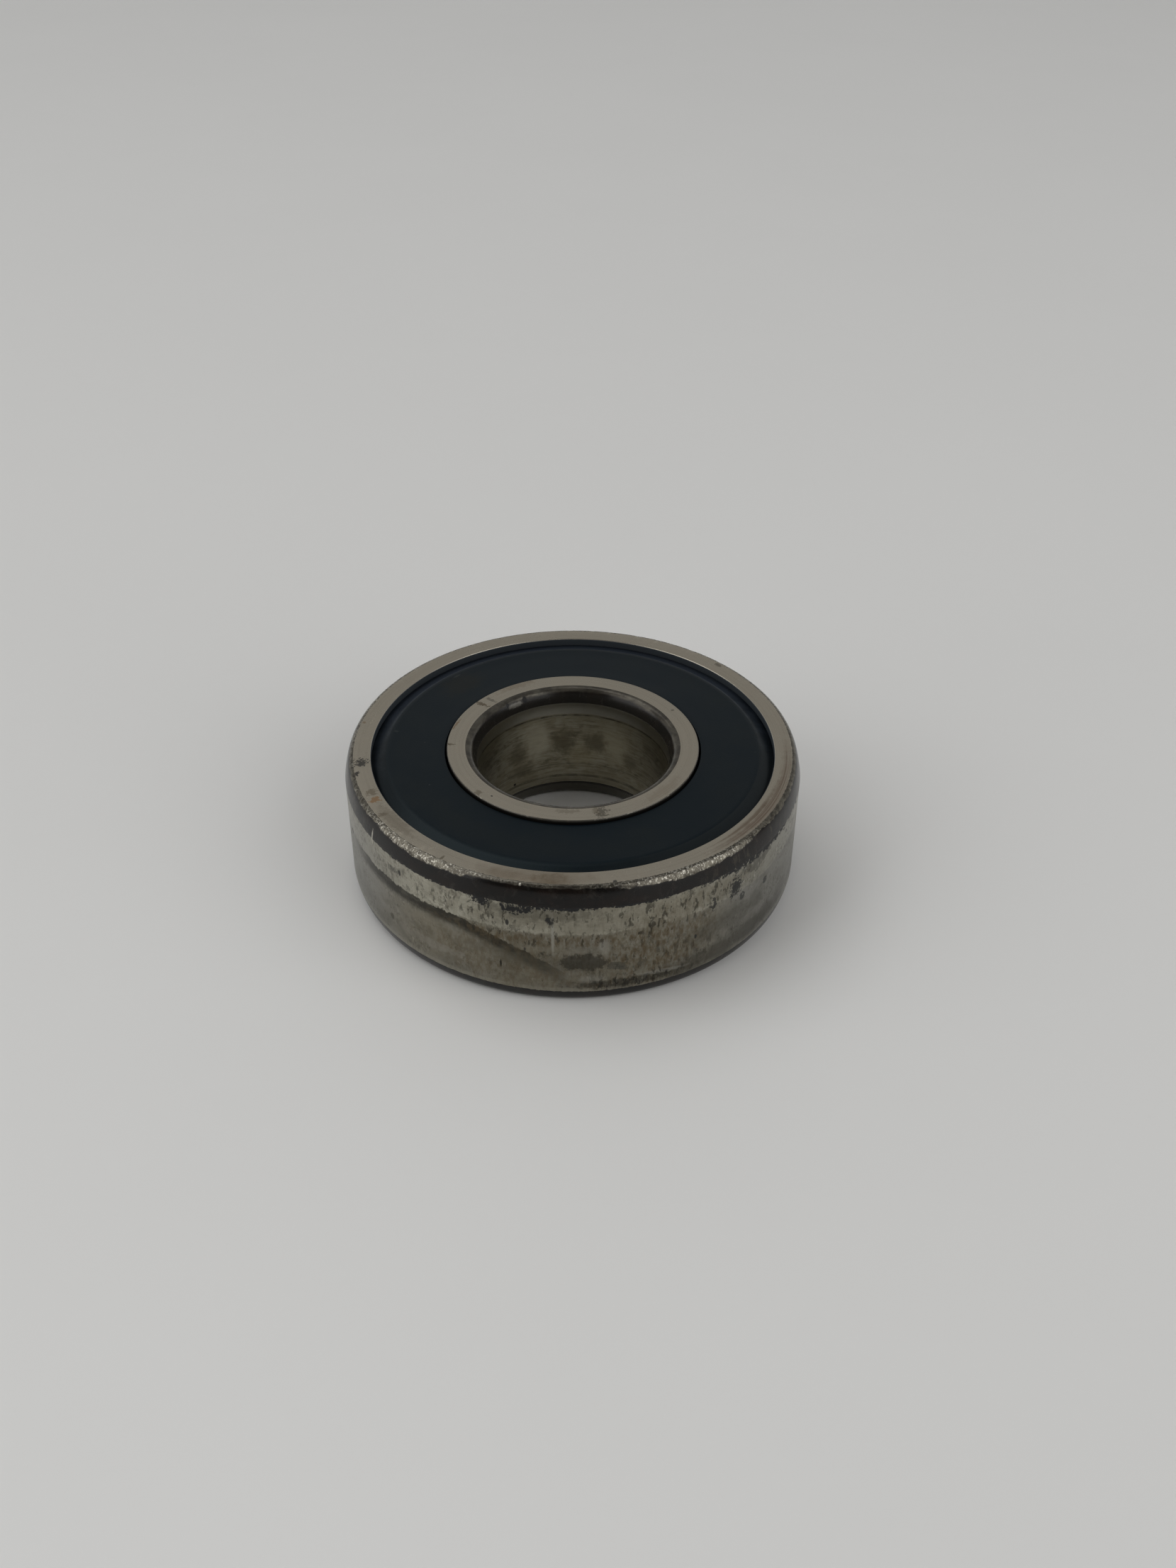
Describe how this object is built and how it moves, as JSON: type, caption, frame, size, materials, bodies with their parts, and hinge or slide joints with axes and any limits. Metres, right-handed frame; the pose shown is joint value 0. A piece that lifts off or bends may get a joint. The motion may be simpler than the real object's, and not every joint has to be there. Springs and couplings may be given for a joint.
{
  "type": "sealed angular contact ball bearing",
  "caption": "Sealed single-row angular contact ball bearing: two hardened steel rings, balls in a riveted steel cage, and a moulded rubber seal on each side.",
  "frame": {"origin": "on the bearing axis, at the plane of the lower side faces, so the bearing lies flat on Z = 0", "axes": "+Z along the bearing axis, from the outer ring's front face towards its back face; +X through ball 1"},
  "size_m": [0.047, 0.047, 0.014],
  "materials": {
    "ring_steel": "ground bearing steel with dark unground corners, stained by use",
    "ball_steel": "lapped to a mirror",
    "cage_steel": "pressed strip, tumbled dull",
    "rivet_steel": "cold-headed wire",
    "seal_rubber": "moulded black nitrile rubber, satin",
    "insert_steel": "stamped sheet, phosphated grey"
  },
  "bodies": {
    "outer_ring": {"outer_ring": "ring_steel", "upper_seal_rubber": "seal_rubber", "upper_seal_insert": "insert_steel", "lower_seal_rubber": "seal_rubber", "lower_seal_insert": "insert_steel"},
    "inner_ring": {"inner_ring": "ring_steel"},
    "cage": {"upper_cage_half": "cage_steel", "lower_cage_half": "cage_steel", "cage_rivet_01": "rivet_steel", "cage_rivet_02": "rivet_steel", "cage_rivet_03": "rivet_steel", "cage_rivet_04": "rivet_steel", "cage_rivet_05": "rivet_steel", "cage_rivet_06": "rivet_steel", "cage_rivet_07": "rivet_steel", "cage_rivet_08": "rivet_steel", "cage_rivet_09": "rivet_steel", "cage_rivet_10": "rivet_steel"},
    "ball_01": {"ball_01": "ball_steel"},
    "ball_02": {"ball_02": "ball_steel"},
    "ball_03": {"ball_03": "ball_steel"},
    "ball_04": {"ball_04": "ball_steel"},
    "ball_05": {"ball_05": "ball_steel"},
    "ball_06": {"ball_06": "ball_steel"},
    "ball_07": {"ball_07": "ball_steel"},
    "ball_08": {"ball_08": "ball_steel"},
    "ball_09": {"ball_09": "ball_steel"},
    "ball_10": {"ball_10": "ball_steel"}
  },
  "joints": [
    {"name": "inner_ring_spin", "type": "hinge", "parent": "outer_ring", "child": "inner_ring", "pos_m": [0, 0, 0.007], "axis": [0, 0, 1], "continuous": true},
    {"name": "cage_spin", "type": "hinge", "parent": "outer_ring", "child": "cage", "pos_m": [0, 0, 0.007], "axis": [0, 0, 1], "continuous": true},
    {"name": "ball_01_spin", "type": "hinge", "parent": "cage", "child": "ball_01", "pos_m": [0.01675, 0, 0.007], "axis": [-0.6428, 0, 0.766], "continuous": true},
    {"name": "ball_02_spin", "type": "hinge", "parent": "cage", "child": "ball_02", "pos_m": [0.01355, 0.00985, 0.007], "axis": [-0.52, -0.3778, 0.766], "continuous": true},
    {"name": "ball_03_spin", "type": "hinge", "parent": "cage", "child": "ball_03", "pos_m": [0.00518, 0.01593, 0.007], "axis": [-0.1986, -0.6113, 0.766], "continuous": true},
    {"name": "ball_04_spin", "type": "hinge", "parent": "cage", "child": "ball_04", "pos_m": [-0.00518, 0.01593, 0.007], "axis": [0.1986, -0.6113, 0.766], "continuous": true},
    {"name": "ball_05_spin", "type": "hinge", "parent": "cage", "child": "ball_05", "pos_m": [-0.01355, 0.00985, 0.007], "axis": [0.52, -0.3778, 0.766], "continuous": true},
    {"name": "ball_06_spin", "type": "hinge", "parent": "cage", "child": "ball_06", "pos_m": [-0.01675, 0, 0.007], "axis": [0.6428, 0, 0.766], "continuous": true},
    {"name": "ball_07_spin", "type": "hinge", "parent": "cage", "child": "ball_07", "pos_m": [-0.01355, -0.00985, 0.007], "axis": [0.52, 0.3778, 0.766], "continuous": true},
    {"name": "ball_08_spin", "type": "hinge", "parent": "cage", "child": "ball_08", "pos_m": [-0.00518, -0.01593, 0.007], "axis": [0.1986, 0.6113, 0.766], "continuous": true},
    {"name": "ball_09_spin", "type": "hinge", "parent": "cage", "child": "ball_09", "pos_m": [0.00518, -0.01593, 0.007], "axis": [-0.1986, 0.6113, 0.766], "continuous": true},
    {"name": "ball_10_spin", "type": "hinge", "parent": "cage", "child": "ball_10", "pos_m": [0.01355, -0.00985, 0.007], "axis": [-0.52, 0.3778, 0.766], "continuous": true}
  ],
  "couplings": [
    {"joint": "cage_spin", "follows": "inner_ring_spin", "ratio": 0.40924},
    {"joint": "ball_01_spin", "follows": "inner_ring_spin", "ratio": -2.0406},
    {"joint": "ball_02_spin", "follows": "inner_ring_spin", "ratio": -2.0406},
    {"joint": "ball_03_spin", "follows": "inner_ring_spin", "ratio": -2.0406},
    {"joint": "ball_04_spin", "follows": "inner_ring_spin", "ratio": -2.0406},
    {"joint": "ball_05_spin", "follows": "inner_ring_spin", "ratio": -2.0406},
    {"joint": "ball_06_spin", "follows": "inner_ring_spin", "ratio": -2.0406},
    {"joint": "ball_07_spin", "follows": "inner_ring_spin", "ratio": -2.0406},
    {"joint": "ball_08_spin", "follows": "inner_ring_spin", "ratio": -2.0406},
    {"joint": "ball_09_spin", "follows": "inner_ring_spin", "ratio": -2.0406},
    {"joint": "ball_10_spin", "follows": "inner_ring_spin", "ratio": -2.0406}
  ]
}
